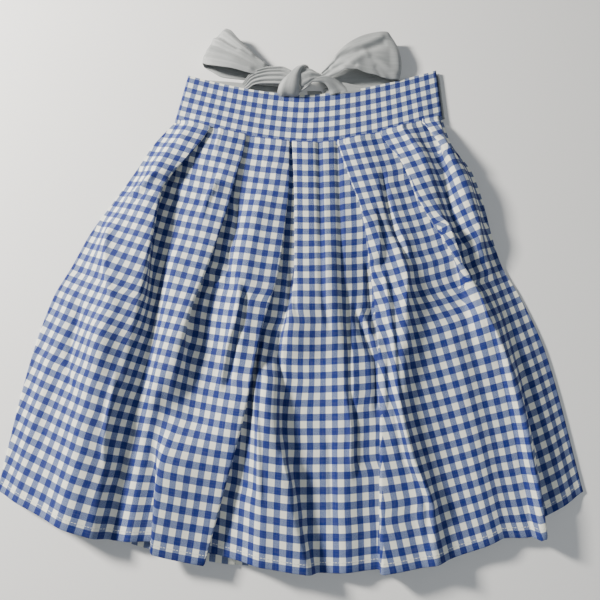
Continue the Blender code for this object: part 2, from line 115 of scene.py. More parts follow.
# The front's folds. At each distance down: where the fold's edge lies, the turn of its cloth in
# degrees (plus steps up to the right, minus steps down), and the length of its inner run.
STATIONS = (0, 20, 45, 90, 150, 220, 300, 380, 453)
FOLDS = {
    "left_pleat": {
        "across": (-106, -116, -130, -154, -161, -168, -179, -190, -197),
        "turn": (-180, -178, -170, -140, -115, -75, -50, -48, -55),
        "run": (23, 22, 19, 14, 9, 8, 8, 8, 9),
        "hem": (0, 0),
    },
    "left_middle_pleat": {
        "across": (-63, -66, -72, -81, -97, -117, -128, -143, -145),
        "turn": (-180, -180, -176, -165, -150, -115, -30, 75, 130),
        "run": (23, 23, 21, 17, 9, 8, 8, 8, 8),
        "hem": (9, 0),
    },
    "centre_pleat_left": {
        "across": (-12.5, -12.5, -12.5, -16, -23, -41, -55, -74, -92),
        "turn": (-180, -180, -178, -170, -160, -150, -130, -140, -155),
        "run": (11.5, 11.5, 11.5, 11, 8, 7, 7, 9, 13),
        "hem": (-1, 10),
    },
    "centre_pleat_right": {
        "across": (-9, -8, -7, -6, -6, -16, -23, -8, 12),
        "turn": (180, 180, 178, 168, 145, 40, -55, -70, -60),
        "run": (11.5, 11.5, 11.5, 11, 7, 6, 8, 9, 8),
        "hem": (0, -2),
    },
    "right_middle_pleat": {
        "across": (44, 49, 56, 69, 76, 81, 82, 79, 77),
        "turn": (180, 180, 175, 165, 152, 140, 130, 120, 105),
        "run": (23, 23, 21, 17, 9, 8, 6, 6, 6),
        "hem": (-1, -3),
    },
    "right_pleat": {
        "across": (94, 104, 117, 131, 159, 185, 198, 208, 214),
        "turn": (180, 172, 158, 146, 128, 70, 12, 6, 6),
        "run": (23, 20, 17, 13, 10, 7, 5, 5, 5),
        "hem": (2, -8),
    },
    "side_pleat": {
        "across": (144, 153, 163, 175, 186, 206, 225, 236, 241),
        "turn": (180, 150, 100, 60, 25, -35, -55, -100, -140),
        "run": (16, 11, 9, 8, 6, 7, 7, 6, 7),
        "hem": (-13, 3),
    },
}

# Length of the round of a fold that is pressed flat, and how much longer it grows as it opens
PRESSED_TURN = 2.4
OPEN_TURN = 9.0

# Turns in degrees: the least that a fold is given, where its edge is fully its outermost point,
# and from where and over how many an inner run takes up spare cloth
LEAST_TURN = 2.0
EDGED_TURN = 50.0
SPARE_FROM_TURN = 45.0
SPARE_OVER_TURN = 60.0

# Room beside a fold where its runs begin, and how far inner runs may shrink or stretch
FOLD_CLEAR = 1.5
LEAST_SPARE = 0.7
MOST_SPARE = 1.3
SPARE_HALVINGS = 14

# Soft ridges and hollows of the front: a name, the places its middle passes as (down, across),
# its height and its half-width
RIDGES = (
    ("left_side_ridge", ((60, -184), (138, -219), (222, -203), (300, -206)), 5.0, 15.0),
    ("left_edge_hollow", ((200, -240), (253, -243), (330, -254), (400, -268)), -2.0, 9.0),
    ("lower_left_ridge", ((250, -212), (309, -214), (389, -222), (453, -230)), 6.0, 17.0),
    ("left_panel_ridge", ((150, -133), (222, -146), (300, -152), (453, -169)), 4.0, 10.0),
    ("centre_bulge", ((70, -45), (120, -58), (190, -66), (250, -76)), 5.0, 15.0),
    ("lower_centre_ridge", ((250, -42), (300, -44), (350, -40), (453, -40)), 4.0, 11.0),
    ("centre_right_ridge", ((120, 30), (211, 40), (312, 46), (453, 44)), 5.0, 15.0),
    ("right_panel_ridge", ((130, 111), (190, 113), (306, 104), (380, 123), (453, 132)), 7.0, 10.0),
    ("right_waist_ridge", ((15, 130), (60, 148), (110, 160), (160, 172)), 5.0, 8.0),
    ("lower_right_ridge", ((230, 165), (300, 172), (380, 180), (453, 186)), 5.0, 18.0),
    ("right_side_ridge", ((60, 188), (120, 197), (170, 203), (210, 222)), 5.0, 8.0),
)
RIDGE_FADE = 45.0
RIDGE_SIDE_REACH = 26.0

# Finer creases of the front, in the same columns as the ridges: sharp ones are narrow and steep
CREASES = (
    ("left_panel_line", ((21, -82), (50, -91), (74, -99), (86, -104), (105, -108)), 3.2, 2.6),
    ("corner_line", ((20, -138), (56, -145), (80, -166), (96, -179), (114, -199)), 3.4, 3.0),
    ("corner_dip", ((60, -136), (82, -154), (100, -172), (118, -189)), -2.6, 2.8),
    ("sliver_dip", ((84, -72), (109, -72), (140, -80), (167, -78)), -4.0, 3.2),
    ("centre_column", ((0, 22), (85, 23), (172, 24), (216, 31)), -2.4, 3.4),
    ("right_column", ((0, 44), (87, 45), (173, 46), (235, 52)), -2.6, 3.0),
    ("small_slant", ((26, -42), (35, -32), (45, -23)), 1.8, 2.6),
    ("light_line", ((72, 76), (108, 85), (137, 87), (163, 80)), 4.2, 2.8),
    ("beside_light_line", ((150, 74), (200, 77), (222, 79)), -3.6, 3.0),
    ("valley_from_seam", ((50, 95), (74, 97), (112, 103), (136, 111), (158, 118)), -5.0, 3.2),
    ("flap_line", ((95, 133), (122, 152), (143, 171), (167, 187), (189, 198)), 4.4, 3.2),
    ("side_line", ((0, 164), (28, 164), (52, 175), (62, 186)), 2.8, 2.6),
    ("side_panel_line", ((82, 166), (119, 171), (149, 180), (189, 194)), -3.0, 3.0),
    ("right_small", ((125, 199), (165, 198), (183, 209)), 2.0, 2.6),
    ("left_light", ((150, -214), (196, -210), (217, -203), (230, -195)), 2.4, 3.2),
    ("left_dark", ((249, -238), (283, -243), (305, -245), (330, -239)), -2.8, 3.8),
    ("low_left_light", ((301, -190), (327, -192), (353, -193)), 2.6, 2.8),
    ("low_left_line", ((330, -194), (370, -196), (386, -193)), 2.6, 2.6),
    ("low_left_dark", ((370, -182), (388, -184), (414, -190)), -3.0, 3.4),
    ("slant_left", ((168, -80), (192, -104), (216, -111)), 2.8, 2.8),
    ("double_line", ((171, -67), (188, -65), (212, -68), (234, -74), (285, -84)), 3.6, 2.8),
    ("beside_double_line", ((180, -58), (212, -60), (234, -66), (285, -76)), -3.2, 2.8),
    ("strip_line", ((225, -37), (259, -43), (290, -46), (327, -43), (391, -40)), 3.6, 2.8),
    ("centre_valley", ((155, -13), (190, -14), (241, -24), (267, -20), (345, -18)), -4.6, 3.2),
    ("centre_small", ((160, -7), (195, -5), (206, 1)), -2.0, 2.8),
    ("low_centre_line", ((330, -18), (345, -17), (373, -8), (400, 1), (416, 8)), 3.6, 2.8),
    ("low_column", ((330, 30), (367, 31), (411, 32)), -2.0, 3.2),
    ("edge_line", ((174, 51), (235, 52), (278, 52), (321, 58), (361, 57)), -3.4, 2.6),
    ("edge_lip", ((290, 48), (321, 52), (361, 51)), 3.0, 2.6),
    ("double_valley", ((198, 58), (216, 65), (239, 74), (258, 80), (304, 80)), -5.0, 3.2),
    ("double_valley_lip", ((198, 65), (216, 72), (239, 81), (258, 86), (304, 86)), 3.4, 2.8),
    ("light_ridge", ((168, 91), (225, 96), (288, 99), (348, 110), (403, 131)), 4.4, 2.9),
    ("light_ridge_dip", ((300, 96), (348, 103), (403, 124), (431, 124)), -3.2, 3.2),
    ("valley_end", ((165, 116), (190, 113), (206, 111)), 3.0, 2.8),
    ("short_dark", ((244, 108), (260, 114), (277, 118)), -2.4, 3.0),
    ("right_low", ((352, 228), (388, 231), (411, 235), (453, 238)), 2.6, 3.0),
    ("side_panel_low", ((200, 192), (219, 194), (241, 200), (260, 207), (300, 219)), 3.4, 2.8),
    ("seam_pucker_left", ((-5, -92), (10, -96), (24, -99)), 1.4, 2.4),
    ("seam_pucker_right", ((-5, 118), (12, 124), (30, 133)), 1.6, 2.6),
)
CREASE_FADE = 26.0
CREASE_SIDE_REACH = 12.0

# The skirt's back is pressed flat by its own weight: its pleats stay folded, narrower to the hem
BACK_STATIONS = (0, 120, 250, 453)
BACK_SHARES = (-0.72, -0.46, -0.2, 0.2, 0.46, 0.72)
BACK_OVERLAP = (22, 13, 6, 3)

# Hem: how much cloth is turned up round what radius, and how far up its topstitching lies; how
# much of the front is tucked under the waistband; and the front's area as a share of a square cut
HEM_TURNED = 13.0
HEM_RADIUS = 0.5
HEM_STITCH_UP = 8.0
TUCKED_UNDER_BAND = 5.0

# Topstitches: from one to the next, their length and their radius
STITCH_PITCH = 3.2
STITCH_LENGTH = 2.4
STITCH_RADIUS = 0.3

# Waistband: where its top edge ends and how high it curves, its flat cut, the half-depth of its
# fold, and the shares of its width over which it climbs on to the pleats
BAND_TOP_LEFT = -136.0
BAND_TOP_RIGHT = 166.0
BAND_TOP_LOWEST = 4.0
BAND_TOP_REACH = 151.0
BAND_TOP_RISE = 30.0
BAND_HALF_DEPTH = 0.62
BAND_CLIMBS_LEFT = 0.14
BAND_CLIMBS_RIGHT = 0.1
BAND_OVER_PLEATS = 1.0

# The sash as cut, and the turn of its right length round the end of the waistband
SASH_WIDE = 58.0
SASH_TURN_RADIUS = 1.5
SASH_TURN_OUT = 4.0
SASH_TURN_START = 3.6
SASH_TURN_END = 2.6

# How finely the cloth is cut: each run of the front from the left seam to the right, the rows of
# both panels, and a waistband's columns and rows. Lengths of sash have (columns, rows), and
# lengths of the bow have (rows, columns).
FRONT_RUN_STEPS = (58, 24, 32, 28, 46, 64, 18, 26)
FRONT_ROWS = 105
BACK_ROWS = 100
BAND_COLUMNS = 121
BAND_ROWS = 26
SASH_STEPS = (16, 50)
SASH_END_STEPS = (14, 60)
LOOP_STEPS = (120, 44)
KNOT_STEPS = (60, 40)

# Warp yarns of the front, one in each run from the left seam to the right: how far across each
# lies at these distances down, as the stripes run in the photograph
WARP_STATIONS = (0, 150, 300, 453)
FRONT_WARP_LINES = (
    (-125, -182, -239, -290),
    (-80, -112, -150, -176),
    (-40, -62, -85, -105),
    (-11, -18, -34, -38),
    (30, 31, 30, 29),
    (60, 100, 138, 172),
    (119, 172, 208, 232),
    (158, 203, 243, 270),
)

# For the stripes, a fold is shut above the first of these turns in degrees and open below the
# second, and a row where it is shut has this small weight in the cloth that the fold takes
SHUT_TURN = 95.0
OPENED_TURN = 50.0
SHUT_WEIGHT = 0.02


def smooth_step(t):
    """The curve 3t^2 - 2t^3 held at 0 and 1 outside its range."""
    t = np.clip(t, 0.0, 1.0)
    return t * t * (3.0 - 2.0 * t)


def through(at, stations, values):
    """A smooth curve through the values at the stations that never overshoots between them."""
    x = np.asarray(stations, float)
    y = np.asarray(values, float)
    at = np.clip(np.asarray(at, float), x[0], x[-1])
    step = np.diff(x)
    rise = np.diff(y) / step
    slope = np.zeros(len(x))
    same_way = rise[:-1] * rise[1:] > 0
    safe = np.where(same_way, rise[:-1] + rise[1:], 1.0)
    slope[1:-1] = np.where(same_way, 2.0 * rise[:-1] * rise[1:] / safe, 0.0)
    slope[0] = rise[0]
    slope[-1] = rise[-1]
    i = np.clip(np.searchsorted(x, at, side="right") - 1, 0, len(x) - 2)
    t = (at - x[i]) / step[i]
    start = (1.0 + 2.0 * t) * (1.0 - t) ** 2 * y[i] + t * (1.0 - t) ** 2 * step[i] * slope[i]
    end = t * t * (3.0 - 2.0 * t) * y[i + 1] + t * t * (t - 1.0) * step[i] * slope[i + 1]
    return start + end


def side_at(table, down):
    """Across and y of a side seam at a distance down, carried on straight above the waist seam."""
    table = np.asarray(table, float)
    across = through(down, table[:, 0], table[:, 1])
    page = through(down, table[:, 0], table[:, 2])
    above = np.minimum(down, 0.0)
    return across, page - above


def page_y(across, down):
    """Y of the row of cloth at a distance down: a smile that rises to both side seams."""
    left_x, left_y = side_at(LEFT_SIDE, down)
    right_x, right_y = side_at(RIGHT_SIDE, down)
    share = max(down, 0.0) / SKIRT_LENGTH
    middle_x = LOWEST_AT_WAIST * (1.0 - share)
    middle_y = WAIST_SEAM_Y - down
    left = np.clip((middle_x - across) / (middle_x - left_x), 0.0, None)
    right = np.clip((across - middle_x) / (right_x - middle_x), 0.0, None)
    left_rise = (left_y - middle_y) * left ** (SMILE_POWER + LEFT_POWER_GROWS * share)
    right_rise = (right_y - middle_y) * right ** (SMILE_POWER + RIGHT_POWER_GROWS * share)
    return middle_y + left_rise + right_rise


def under_lift(y):
    """How far the sash and its ends lift the cloth above them off the floor."""
    return UNDER_LIFT * smooth_step((y - LIFT_STARTS_Y) / (LIFT_FULL_Y - LIFT_STARTS_Y))


def side_fall(across, down, reach):
    """0 at either side seam, rising smoothly to 1 once it is a reach away."""
    left_x, _ = side_at(LEFT_SIDE, down)
    right_x, _ = side_at(RIGHT_SIDE, down)
    return smooth_step((across - left_x) / reach) * smooth_step((right_x - across) / reach)


def ridge_height(across, down, ridges, fade):
    """Sum of soft ridges, each a bell across its path that fades at both ends of the path."""
    height = np.zeros_like(across)
    for _, path, tall, wide in ridges:
        downs = [place[0] for place in path]
        middle = through(down, downs, [place[1] for place in path])
        fade_in = 1.0 if downs[0] <= 0 else smooth_step((down - downs[0]) / fade + 0.5)
        reaches_hem = downs[-1] >= SKIRT_LENGTH
        fade_out = 1.0 if reaches_hem else smooth_step((downs[-1] - down) / fade + 0.5)
        height += tall * fade_in * fade_out * np.exp(-(((across - middle) / wide) ** 2))
    return height


def fold_curve(turn, run, turn_steps, inner_steps):
    """Points of one fold from its left end: a turn, an inner run and the turn back.

    A plus turn carries the cloth up to its right-hand side. The points are (across, height)
    from the left end, and the edge is how far the fold's outermost point lies from that end.
    """
    angle = math.radians(max(abs(turn), LEAST_TURN))
    arc = PRESSED_TURN + OPEN_TURN * (1.0 - abs(turn) / 180.0)
    radius = max(arc / angle, LAYER_PITCH / 2)
    part = np.linspace(0.0, angle, turn_steps + 1)
    first = np.column_stack([radius * np.sin(part), radius * (np.cos(part) - 1.0)])
    inner = np.linspace(0.0, run, inner_steps + 1)[1:-1, None]
    way = np.array([math.cos(angle), -math.sin(angle)])
    middle = first[-1] + inner * way
    start = first[-1] + run * way
    back = part[::-1]
    second = np.column_stack(
        [
            start[0] + radius * (math.sin(angle) - np.sin(back)),
            start[1] + radius * (math.cos(angle) - np.cos(back)),
        ]
    )
    points = np.vstack([first, middle, second])
    drop = -points[-1, 1]
    points[:, 1] += drop
    length = points[-1, 0]
    folded = float(smooth_step(abs(turn) / EDGED_TURN))
    edge = length / 2 + (radius * math.sin(min(angle, math.pi / 2)) - length / 2) * folded
    if turn > 0:
        points = np.column_stack([length - points[::-1, 0], points[::-1, 1]])
        edge = length - edge
    return points, edge


def run_curve(start, end, level_from, level_to, steps):
    """Points of a run of cloth between two folds: level, an S-shaped rise or fall, level."""
    t = np.linspace(0.0, 1.0, steps + 2)
    return np.column_stack(
        [start + (end - start) * t, level_from + (level_to - level_from) * smooth_step(t)]
    )


class Panel:
    """A pleated panel: its folds by row, and how finely each turn, inner run and run is cut."""

    def __init__(self, folds, turn_steps, inner_steps, run_steps):
        self.folds = folds
        self.turn_steps = turn_steps
        self.inner_steps = inner_steps
        self.run_steps = run_steps

    def section(self, down, scale, side_level):
        """One cross-section as (across, height above the base), from side seam to side seam."""
        left_x, _ = side_at(LEFT_SIDE, down)
        right_x, _ = side_at(RIGHT_SIDE, down)
        pieces = []
        span_end, level = float(left_x), side_level
        for fold in self.folds:
            turn = float(through(down, fold["at"], fold["turn"]))
            run = float(through(down, fold["at"], fold["run"]))
            takes_up = float(smooth_step((abs(turn) - SPARE_FROM_TURN) / SPARE_OVER_TURN))
            run *= 1.0 + (scale - 1.0) * takes_up
            points, edge = fold_curve(turn, run, self.turn_steps, self.inner_steps)
            points[:, 0] += float(through(down, fold["at"], fold["across"])) - edge
            start = points[:, 0].min() - FOLD_CLEAR
            end = points[:, 0].max() + FOLD_CLEAR
            steps = self.run_steps[len(pieces) // 2]
            pieces.append(run_curve(span_end, start, level, points[0, 1], steps))
            pieces.append(points)
            level, span_end = points[-1, 1], end
        pieces.append(run_curve(span_end, float(right_x), level, side_level, self.run_steps[-1]))
        return np.vstack(pieces)

    def fold_marks(self):
        """Index of the first and last point of each fold in a section."""
        fold_points = 2 * (self.turn_steps + 1) + self.inner_steps - 1
        runs = np.cumsum(np.array(self.run_steps[:-1]) + 2)
        first = runs + np.arange(len(self.folds)) * fold_points
        return first, first + fold_points - 1


def row_lengths(points):
    """Arc length along each row of a grid of points, from its first column."""
    steps = np.linalg.norm(np.diff(points, axis=-2), axis=-1)
    start = np.zeros(steps.shape[:-1] + (1,))
    return np.concatenate([start, np.cumsum(steps, axis=-1)], axis=-1)


def stripes_across(panel, rows, downs, warp_lines):
    """Places across the cut for every point of a pleated panel, one warp stripe to each line.

    In each run one line down the page is a warp yarn, so its place on the cut stays the same from
    waist to hem. Between two lines a place is told by arc length from the left one, and what is
    left over goes into a fold that is shut, or evenly between the lines where the fold is open.
    """
    lengths = row_lengths(rows)
    firsts, lasts = panel.fold_marks()
    starts = np.concatenate([[0], lasts])
    ends = np.concatenate([firsts, [rows.shape[1] - 1]])
    reached = []
    for start, end, line in zip(starts, ends, warp_lines):
        across = through(downs, WARP_STATIONS, line)
        reached.append(
            [
                np.interp(across[i], rows[i, start : end + 1, 0], lengths[i, start : end + 1])
                for i in range(len(rows))
            ]
        )
    reached = np.array(reached).T
    columns = np.arange(rows.shape[1])
    across = lengths - reached[:, [0]]
    anchor = 0.0
    for number, fold in enumerate(panel.folds):
        gap = reached[:, number + 1] - reached[:, number]
        turn = np.abs(through(downs, fold["at"], fold["turn"]))
        is_open = smooth_step((SHUT_TURN - turn) / (SHUT_TURN - OPENED_TURN))
        seen = is_open + SHUT_WEIGHT
        wanted = float((gap * seen).sum() / seen.sum())
        if number < len(warp_lines) // 2:
            anchor += wanted
        in_fold = np.interp(columns, (firsts[number], lasts[number]), (0.0, 1.0))
        evenly = np.clip((lengths - reached[:, [number]]) / gap[:, None], 0.0, 1.0)
        share = in_fold + (evenly - in_fold) * is_open[:, None]
        across = across + (wanted - gap)[:, None] * share
    return across - anchor


def front_base(across, down):
    """Middle height of the front's lowest cloth: over the back's pleats, down at the sides."""
    side = 1.5 * WALL + SEAM_GAP + SIDE_CLEAR
    over_pleats = 2 * LAYER_PITCH + FRONT_OVER_PLEATS
    ridges = ridge_height(across, down, RIDGES, RIDGE_FADE)
    creases = ridge_height(across, down, CREASES, CREASE_FADE)
    inside = side_fall(across, down, RIDGE_SIDE_REACH)
    near_inside = side_fall(across, down, CREASE_SIDE_REACH)
    return side + (over_pleats + ridges) * inside + creases * near_inside


def front_row(panel, down):
    """Points of the front's section, its inner runs scaled so that the cloth keeps its cut."""
    held = max(down, 0.0)
    share = held / SKIRT_LENGTH
    wanted = FRONT_CUT_AT_WAIST + (FRONT_CUT_AT_HEM - FRONT_CUT_AT_WAIST) * share
    low, high = LEAST_SPARE, MOST_SPARE
    for _ in range(SPARE_HALVINGS):
        scale = (low + high) / 2
        profile = panel.section(down, scale, 0.0)
        y = page_y(profile[:, 0], down)
        z = profile[:, 1] + front_base(profile[:, 0], held)
        points = np.column_stack([profile[:, 0], y, z])
        if row_lengths(points)[-1] < wanted:
            low = scale
        else:
            high = scale
    firsts, lasts = panel.fold_marks()
    marks = np.concatenate([[0], np.column_stack([firsts, lasts]).ravel(), [len(points) - 1]])
    hems = np.concatenate([[0], [value for fold in panel.folds for value in fold["hem"]], [0]])
    points[:, 1] += np.interp(np.arange(len(points)), marks, hems) * share**4
    points[:, 2] += under_lift(points[:, 1])
    return points


def back_row(panel, down):
    """Points of the back's section: its flat outer side down, its pleats folded inwards."""
    pressed = 4.0 * PRESSED_TURN / math.pi
    profile = panel.section(down, 1.0, pressed)
    y = page_y(profile[:, 0], down)
    z = WALL / 2 + pressed - profile[:, 1] + under_lift(y)
    return np.column_stack([profile[:, 0], y, z])


def section_normals(rows):
    """Unit normals of each point within its row's x-z section, to the left of the way along it."""
    along = np.gradient(rows[:, :, ::2], axis=1)
    along /= np.linalg.norm(along, axis=2, keepdims=True)
    normal = np.zeros_like(rows)
    normal[:, :, 0] = -along[:, :, 1]
    normal[:, :, 2] = along[:, :, 0]
    return normal


def turned_hem(rows, downs, radius, inner_side):
    """Rows with the hem turned up behind them: a half circle round the edge, then back up.

    The last row sinks behind the cloth by twice the radius on its inner side (+1 or -1 of the
    section's normal), and the turned cloth follows the rows above it at that depth.
    """
    normal = section_normals(rows) * inner_side
    edge, beyond = rows[-1], rows[-1] - rows[-2]
    beyond /= np.linalg.norm(beyond, axis=1, keepdims=True)
    turned, lengths = [], []
    for angle in np.radians([36, 72, 108, 144, 180]):
        outwards = math.sin(angle) * beyond + (1 - math.cos(angle)) * normal[-1]
        turned.append(edge + radius * outwards)
        lengths.append(downs[-1] + radius * angle)
    for up in (3.0, 6.0, 9.5, HEM_TURNED):
        share = np.interp(downs[-1] - up, downs, np.arange(len(downs)))
        low = int(math.floor(share))
        part = share - low
        high = min(low + 1, len(downs) - 1)
        base = rows[low] * (1 - part) + rows[high] * part
        side = normal[low] * (1 - part) + normal[high] * part
        turned.append(base + 2 * radius * side)
        lengths.append(downs[-1] + radius * math.pi + up)
    return np.concatenate([rows, np.array(turned)]), np.concatenate([downs, lengths])


def cloth(name, points, flat, thick, finish):
    """A sheet of cloth from a grid of points in millimetres, with its flat cut as its UV map.

    points is (rows, columns, 3) and flat the matching (rows, columns, 2) places on the cut, in
    millimetres, kept in metres in the UV map. A Solidify modifier gives it both faces.
    """
    rows, columns = points.shape[:2]
    index = np.arange(rows * columns).reshape(rows, columns)
    faces = np.stack([index[:-1, :-1], index[1:, :-1], index[1:, 1:], index[:-1, 1:]], axis=-1)
    faces = faces.reshape(-1, 4)
    mesh = bpy.data.meshes.new(name)
    mesh.from_pydata((points.reshape(-1, 3) * MM).tolist(), [], faces.tolist())
    uv = mesh.uv_layers.new(name="cut")
    uv.data.foreach_set("uv", (flat.reshape(-1, 2)[faces.ravel()] * MM).ravel())
    mesh.materials.append(finish)
    mesh.update()
    mesh.shade_smooth()
    piece = bpy.data.objects.new(name, mesh)
    bpy.context.scene.collection.objects.link(piece)
    wall = piece.modifiers.new("wall", "SOLIDIFY")
    wall.thickness = thick * MM
    wall.offset = 0.0
    return piece


def stitches(name, path, normal, finish):
    """A row of stitches along a path: small capsules, each half sunk in the cloth.

    The path is walked at an even pitch, and every stitch is a six-sided tube that narrows at both
    ends.
    """
    steps = np.linalg.norm(np.diff(path, axis=0), axis=1)
    walked = np.concatenate([[0.0], np.cumsum(steps)])
    middles = np.arange(STITCH_PITCH, walked[-1] - STITCH_PITCH / 2, STITCH_PITCH)
    fronts = middles + 0.4 * STITCH_PITCH
    centre = np.column_stack([np.interp(middles, walked, path[:, a]) for a in range(3)])
    ahead = np.column_stack([np.interp(fronts, walked, path[:, a]) for a in range(3)])
    up = np.column_stack([np.interp(middles, walked, normal[:, a]) for a in range(3)])
    way = ahead - centre
    way /= np.linalg.norm(way, axis=1, keepdims=True)
    side = np.cross(up, way)
    side /= np.linalg.norm(side, axis=1, keepdims=True)
    up = np.cross(way, side)
    along = np.array([-0.5, -0.42, -0.2, 0.2, 0.42, 0.5]) * STITCH_LENGTH
    wide = np.array([0.35, 0.8, 1.0, 1.0, 0.8, 0.35]) * STITCH_RADIUS
    turn = np.radians(np.arange(0, 360, 60))
    ring_side = np.outer(wide, np.cos(turn))
    ring_up = np.outer(wide, np.sin(turn))
    points = (
        centre[:, None, None]
        + along[None, :, None, None] * way[:, None, None]
        + ring_side[None, :, :, None] * side[:, None, None]
        + ring_up[None, :, :, None] * up[:, None, None]
    )
    count, rings, sides = points.shape[:3]
    index = np.arange(rings * sides).reshape(rings, sides)
    ahead_of = np.roll(index, -1, axis=1)
    tube = np.stack([index[:-1], ahead_of[:-1], ahead_of[1:], index[1:]], axis=-1).reshape(-1, 4)
    caps = np.stack([index[0, ::-1], index[-1]])
    firsts = (np.arange(count) * rings * sides)[:, None, None]
    faces = (tube[None] + firsts).reshape(-1, 4).tolist()
    faces += (caps[None] + firsts).reshape(-1, sides).tolist()
    mesh = bpy.data.meshes.new(name)
    mesh.from_pydata((points.reshape(-1, 3) * MM).tolist(), [], faces)
    mesh.materials.append(finish)
    mesh.update()
    mesh.shade_smooth()
    piece = bpy.data.objects.new(name, mesh)
    bpy.context.scene.collection.objects.link(piece)
    return piece


# Materials


def group_socket(group, name, kind, way, default=None):
    """A named socket on a shader node group, with its starting value."""
    socket = group.interface.new_socket(name=name, in_out=way, socket_type=kind)
    if default is not None:
        socket.default_value = default
    return socket


class Sheet:
    """A node tree that is written down one node after another."""

    def __init__(self, tree):
        self.tree = tree

    def node(self, kind, **values):
        """A new node of a kind, with its settings."""
        made = self.tree.nodes.new(kind)
        for key, value in values.items():
            setattr(made, key, value)
        return made

    def put(self, target, value):
        """A plain value written into a socket, or another node's output linked to it."""
        if isinstance(value, (int, float, tuple)):
            target.default_value = value
        else:
            self.tree.links.new(value, target)

    def maths(self, operation, first, second=0.0, third=0.0):
        """One step of arithmetic on up to three values."""
        made = self.node("ShaderNodeMath", operation=operation)
        for target, value in zip(made.inputs, (first, second, third)):
            self.put(target, value)
        return made.outputs[0]

    def ramp(self, value, low, high):
        """0 at low and 1 at high, smooth between."""
        made = self.node("ShaderNodeMapRange", interpolation_type="SMOOTHSTEP")
        self.put(made.inputs["Value"], value)
        made.inputs["From Min"].default_value = low
        made.inputs["From Max"].default_value = high
        return made.outputs["Result"]

    def mix(self, share, first, second):
        """A colour that goes from the first at share 0 to the second at share 1."""
        made = self.node("ShaderNodeMix", data_type="RGBA")
        self.put(made.inputs["Factor"], share)
        self.put(made.inputs[6], first)
        self.put(made.inputs[7], second)
        return made.outputs[2]

    def noise(self, vector, scale, detail, squeeze=None):
        """Cloudy noise from 0 to 1, squeezed along the axes when asked."""
        if squeeze is not None:
            mapping = self.node("ShaderNodeMapping")
            self.put(mapping.inputs["Vector"], vector)
            mapping.inputs["Scale"].default_value = squeeze
            vector = mapping.outputs["Vector"]
        made = self.node("ShaderNodeTexNoise")
        self.put(made.inputs["Vector"], vector)
        made.inputs["Scale"].default_value = scale
        made.inputs["Detail"].default_value = detail
        return made.outputs["Fac"]


def weave_group():
    """Plain weave: which set of yarns lies on top, their height, and slubs along each set."""
    group = bpy.data.node_groups.new("plain weave", "ShaderNodeTree")
    group_socket(group, "Cut", "NodeSocketVector", "INPUT")
    group_socket(group, "Yarn Pitch", "NodeSocketFloat", "INPUT", 0.0005)
    group_socket(group, "Warp On Top", "NodeSocketFloat", "OUTPUT")
    group_socket(group, "Height", "NodeSocketFloat", "OUTPUT")
    group_socket(group, "Slub", "NodeSocketFloat", "OUTPUT")
    made = Sheet(group)
    inputs = made.node("NodeGroupInput")
    outputs = made.node("NodeGroupOutput")
    apart = made.node("ShaderNodeSeparateXYZ")
    made.put(apart.inputs[0], inputs.outputs["Cut"])
    rate = made.maths("DIVIDE", math.pi, inputs.outputs["Yarn Pitch"])
    warp = made.maths("MULTIPLY", apart.outputs[0], rate)
    weft = made.maths("MULTIPLY", apart.outputs[1], rate)
    both = made.maths("MULTIPLY", made.maths("SINE", warp), made.maths("SINE", weft))
    on_top = made.ramp(both, -0.35, 0.35)
    warp_round = made.maths("ABSOLUTE", made.maths("SINE", warp))
    weft_round = made.maths("ABSOLUTE", made.maths("SINE", weft))
    across = made.maths("MULTIPLY", on_top, warp_round)
    along = made.maths("MULTIPLY", made.maths("SUBTRACT", 1.0, on_top), weft_round)
    slub = made.maths(
        "ADD",
        made.noise(inputs.outputs["Cut"], 1.0, 2.0, (900.0, 45.0, 1.0)),
        made.noise(inputs.outputs["Cut"], 1.0, 2.0, (45.0, 900.0, 1.0)),
    )
    made.put(outputs.inputs["Warp On Top"], on_top)
    made.put(outputs.inputs["Height"], made.maths("ADD", across, along))
    made.put(outputs.inputs["Slub"], made.maths("MULTIPLY", slub, 0.5))
    return group


